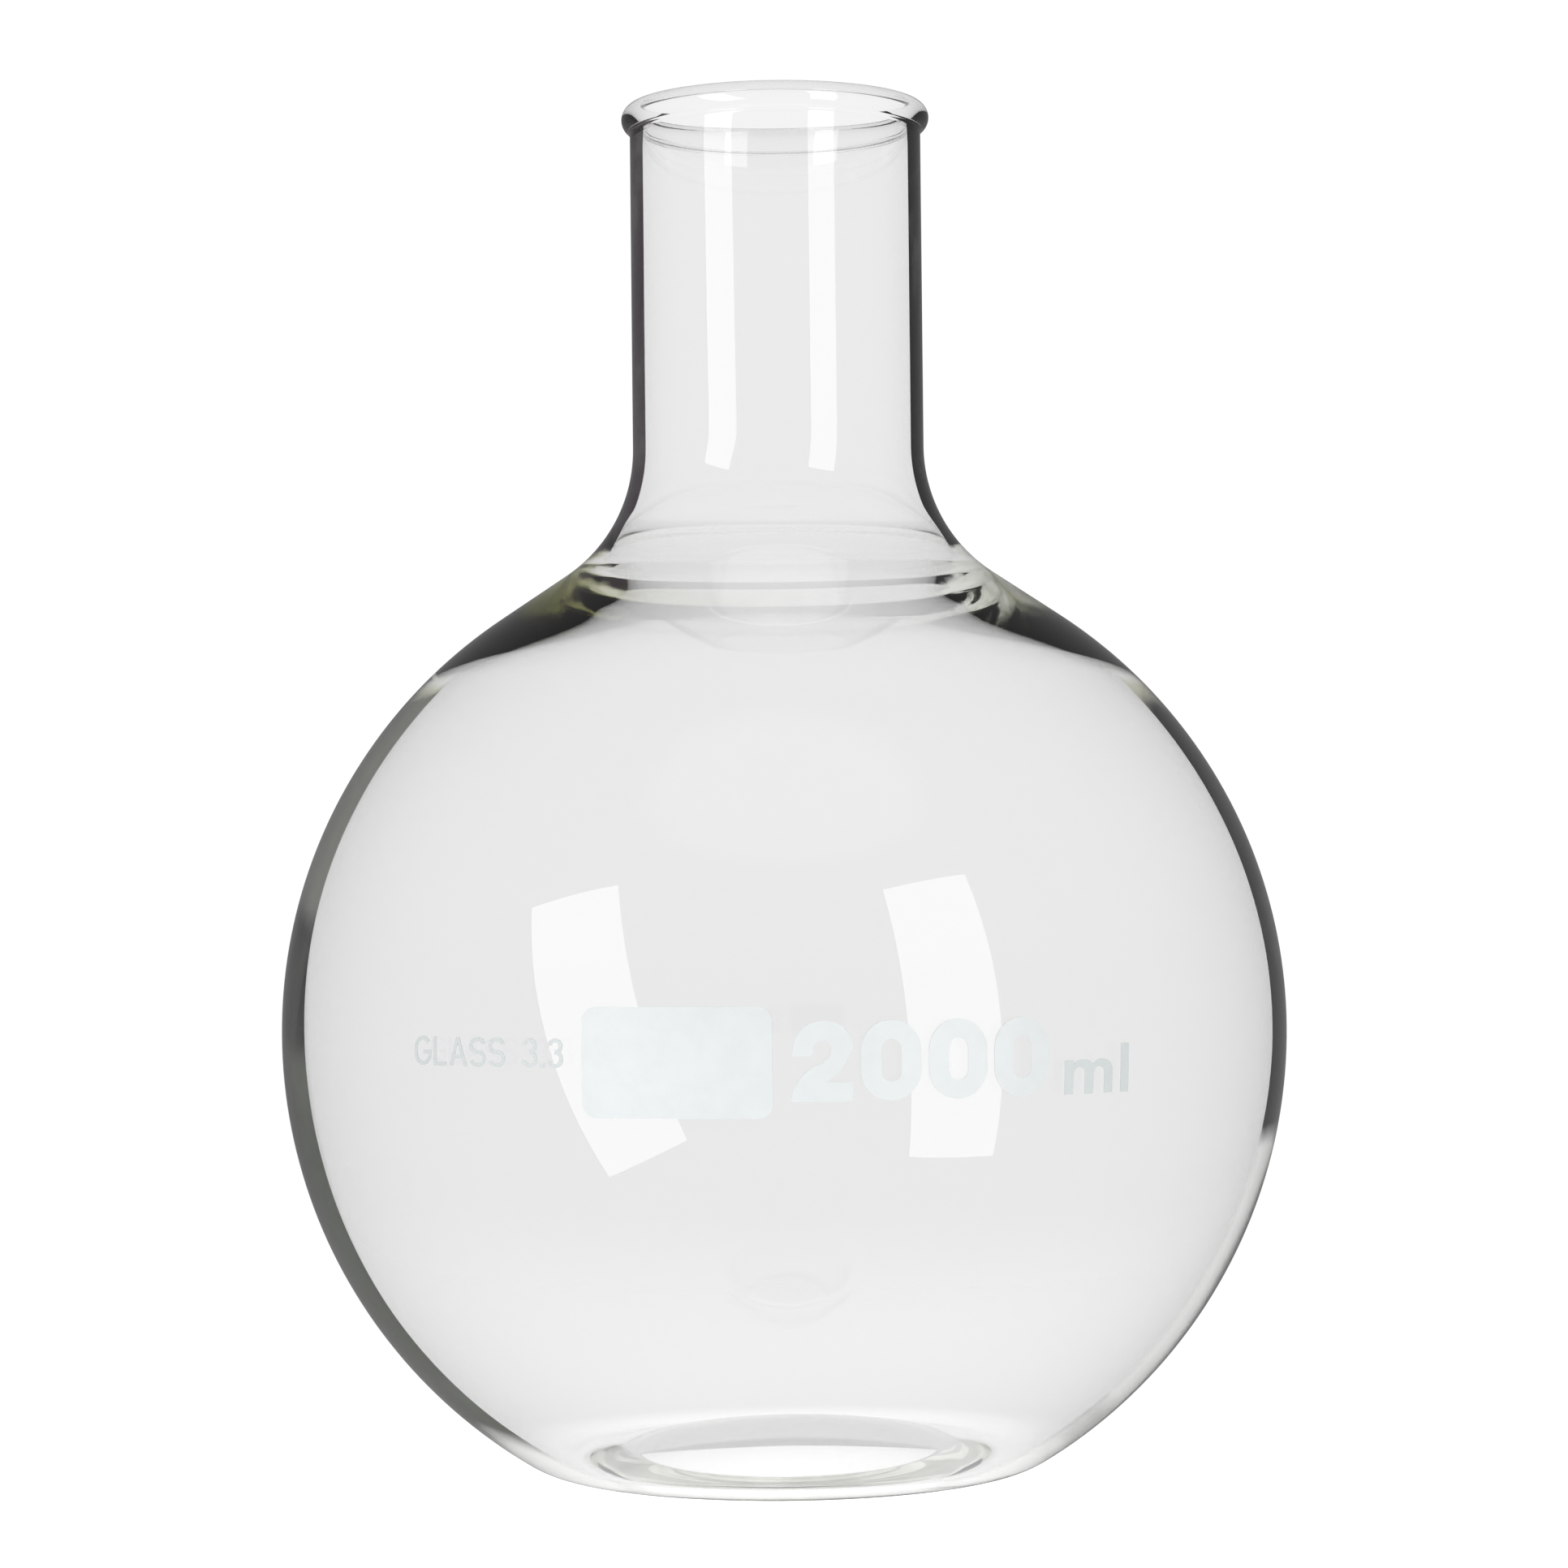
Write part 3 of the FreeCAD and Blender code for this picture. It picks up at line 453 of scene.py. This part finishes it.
class FLASK_OT_blow_glass(bpy.types.Operator):
    """Turns the flask's glass as one closed piece and gives it its clear finish with painted dark
    reflections at its edges.
    """
    bl_idname = "flask.blow_glass"
    bl_label = "Blow Glass"

    def execute(self, context):
        size = context.scene.flask_glass
        piece = new_object("flask_glass", turn_glass(size))
        piece.data.materials.append(glass_material(size))
        # Light scattered by the enamel goes straight through the glass behind it.
        piece.visible_diffuse = False
        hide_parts("bulb", "neck")
        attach(piece, "root")
        return {"FINISHED"}


# ---- the enamel -----------------------------------------------------------------

def enamel_material(name, look, cover):
    """White enamel fired on glass: satin, slightly mottled, a little light comes through."""
    material = new_material(name)
    sheet = NodeSheet(material.node_tree)
    place = sheet.add("ShaderNodeTexCoord").outputs["Object"]
    mottle = sheet.add("ShaderNodeTexNoise", {
        "Vector": place, "Scale": 260.0, "Detail": 5.0, "Roughness": 0.65}).outputs[0]
    grain = sheet.add("ShaderNodeTexNoise", {
        "Vector": place, "Scale": 1900.0, "Detail": 2.0, "Roughness": 0.5}).outputs[0]
    colour = sheet.mix_colour(
        sheet.ramp(mottle, 0.3, 0.7), look.colour, tuple(0.98 * part for part in look.colour))
    bump = sheet.add("ShaderNodeBump", {"Height": grain, "Strength": 0.25, "Distance": 0.00004})
    coat = sheet.add("ShaderNodeBsdfPrincipled", {
        "Base Color": colour, "Roughness": look.roughness, "IOR": 1.5, "Normal": bump.outputs[0]})
    through = sheet.add("ShaderNodeBsdfTransparent", {"Color": (0.97, 0.985, 0.985, 1.0)})
    share = sheet.ramp(mottle, 0.25, 0.8, cover, cover - 0.02)
    mix = sheet.add("ShaderNodeMixShader", {0: share, 1: through.outputs[0], 2: coat.outputs[0]})
    sheet.add("ShaderNodeOutputMaterial", {"Surface": mix.outputs[0]})
    return material


class FLASK_OT_fire_enamel(bpy.types.Operator):
    """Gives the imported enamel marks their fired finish."""
    bl_idname = "flask.fire_enamel"
    bl_label = "Fire Enamel"

    def execute(self, context):
        look = context.scene.flask_enamel
        large = enamel_material("fired_enamel", look, look.cover)
        small = enamel_material("fired_enamel_small", look, look.small_cover)
        for name in MARKS:
            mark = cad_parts[name]
            finish = small if name in SMALL_MARKS else large
            for slot in mark.material_slots:
                slot.material = finish
        return {"FINISHED"}


# ---- the studio -----------------------------------------------------------------

def aim(item, place, direction, roll=0.0):
    """Puts item at place, looking along direction, and rolls it about that line."""
    turn = direction.to_track_quat("-Z", "Y").to_matrix().to_4x4()
    item.matrix_world = Matrix.Translation(place) @ turn @ Matrix.Rotation(roll, 4, "Z")


def bearing(azimuth, elevation):
    """Unit vector from the globe: azimuth 0 is towards the camera and 90 is its right."""
    a, e = math.radians(azimuth), math.radians(elevation)
    return Vector((math.sin(a) * math.cos(e), -math.cos(a) * math.cos(e), math.sin(e)))


def add_camera(studio, middle):
    camera_data = bpy.data.cameras.new("camera")
    camera = new_object("camera", camera_data)
    camera_data.sensor_width = 36.0
    camera_data.lens = studio.lens
    camera_data.clip_start = 0.01
    camera_data.clip_end = 50.0
    place = middle + studio.camera_distance * bearing(0, math.degrees(studio.camera_rise))
    pitch, yaw = studio.camera_pitch, studio.camera_yaw
    direction = Vector((
        -math.sin(yaw) * math.cos(pitch), math.cos(yaw) * math.cos(pitch), math.sin(pitch)))
    aim(camera, place, direction, -studio.camera_roll)
    bpy.context.scene.camera = camera


def add_softbox(middle, distance, name, azimuth, elevation, roll, width, height, power):
    """A soft rectangular light, seen in reflections but not by the camera or through glass."""
    data = bpy.data.lights.new(name, "AREA")
    data.shape = "RECTANGLE"
    data.size, data.size_y = width, height
    data.energy = power
    box = new_object(name, data)
    outward = bearing(azimuth, elevation)
    aim(box, middle + outward * distance, -outward, math.radians(roll))
    box.visible_camera = False
    box.visible_transmission = False


def add_floor(studio):
    """A pale disc that fades into the backdrop, with a pool of light under the flask."""
    bm = bmesh.new()
    bmesh.ops.create_circle(bm, cap_ends=True, radius=studio.floor_radius, segments=128)
    bmesh.ops.translate(bm, vec=(0, 0, -0.0002), verts=bm.verts)
    mesh = bpy.data.meshes.new("floor")
    bm.to_mesh(mesh)
    bm.free()
    floor = new_object("floor", mesh)
    material = new_material("pale_floor")
    sheet = NodeSheet(material.node_tree)
    place = sheet.add("ShaderNodeTexCoord").outputs["Object"]
    reach = sheet.add("ShaderNodeVectorMath", {0: place}, operation="LENGTH").outputs["Value"]
    fade = sheet.ramp(reach, studio.floor_radius * 0.12, studio.floor_radius * 0.8)
    matt = sheet.add("ShaderNodeBsdfDiffuse", {"Color": (0.22, 0.22, 0.22, 1.0)})
    pool = sheet.ramp(reach, 0.034, 0.056, 1.35, 0.93)
    glow = sheet.add("ShaderNodeEmission", {"Color": (1.0, 1.0, 1.0, 1.0), "Strength": pool})
    lit = sheet.add("ShaderNodeAddShader", {0: matt.outputs[0], 1: glow.outputs[0]})
    clear = sheet.add("ShaderNodeBsdfTransparent")
    mix = sheet.add("ShaderNodeMixShader", {0: fade, 1: lit.outputs[0], 2: clear.outputs[0]})
    sheet.add("ShaderNodeOutputMaterial", {"Surface": mix.outputs[0]})
    mesh.materials.append(material)
    floor.visible_glossy = False


def light_room():
    """White backdrop, seen directly and through glass, and a dimmer room for reflections."""
    world = bpy.data.worlds.new("studio")
    bpy.context.scene.world = world
    world.use_nodes = True
    world.node_tree.nodes.clear()
    sheet = NodeSheet(world.node_tree)
    path = sheet.add("ShaderNodeLightPath")
    look = sheet.add("ShaderNodeTexCoord").outputs["Generated"]
    rise = sheet.add("ShaderNodeSeparateXYZ", {0: look}).outputs[2]
    level = ROOM_LEVEL
    for kind, value in (
            ("Is Glossy Ray", sheet.ramp(rise, *REFLECTED_LEVEL)),
            ("Is Transmission Ray", sheet.ramp(rise, *THROUGH_LEVEL)),
            ("Is Camera Ray", BACKDROP_LEVEL)):
        level = sheet.blend(path.outputs[kind], level, value)
    background = sheet.add("ShaderNodeBackground", {
        "Color": (1.0, 1.0, 1.0, 1.0), "Strength": level})
    sheet.add("ShaderNodeOutputWorld", {"Surface": background.outputs[0]})


class FLASK_OT_set_studio(bpy.types.Operator):
    """Sets the camera, the pale floor and the soft lights."""
    bl_idname = "flask.set_studio"
    bl_label = "Set Studio"

    def execute(self, context):
        studio = context.scene.flask_studio
        middle = Vector((0, 0, context.scene.flask_glass.globe_height))
        add_camera(studio, middle)
        for softbox in SOFTBOXES:
            add_softbox(middle, studio.light_distance, *softbox)
        add_floor(studio)
        light_room()
        view = context.scene.view_settings
        view.view_transform = "Standard"
        view.look = "None"
        cycles = context.scene.cycles
        cycles.max_bounces = 64
        cycles.transmission_bounces = 64
        cycles.glossy_bounces = 64
        cycles.transparent_max_bounces = 16
        cycles.caustics_reflective = False
        cycles.caustics_refractive = False
        return {"FINISHED"}


# ---- panel and running ----------------------------------------------------------

class FLASK_PT_sidebar(bpy.types.Panel):
    """Lists the flask's steps and sizes."""
    bl_idname = "FLASK_PT_sidebar"
    bl_label = "Boiling Flask"
    bl_space_type = "VIEW_3D"
    bl_region_type = "UI"
    bl_category = "Flask"

    def draw(self, context):
        layout = self.layout
        for step in STEPS:
            layout.operator(step.bl_idname)
        for name, group in GROUPS:
            box = layout.box()
            for key in group.__annotations__:
                box.prop(getattr(context.scene, name), key)


STEPS = (FLASK_OT_set_studio, FLASK_OT_blow_glass, FLASK_OT_fire_enamel)
GROUPS = (
    ("flask_glass", FlaskGlassSettings), ("flask_enamel", FlaskEnamelSettings),
    ("flask_studio", FlaskStudioSettings),
)
CLASSES = tuple(group for _, group in GROUPS) + STEPS + (FLASK_PT_sidebar,)


def register():
    for item in CLASSES:
        bpy.utils.register_class(item)
    for name, group in GROUPS:
        setattr(bpy.types.Scene, name, bpy.props.PointerProperty(type=group))


def unregister():
    for name, _ in GROUPS:
        delattr(bpy.types.Scene, name)
    for item in reversed(CLASSES):
        bpy.utils.unregister_class(item)


def main():
    register()
    bpy.ops.flask.set_studio()
    bpy.ops.flask.blow_glass()
    bpy.ops.flask.fire_enamel()


if __name__ == "__main__":
    main()
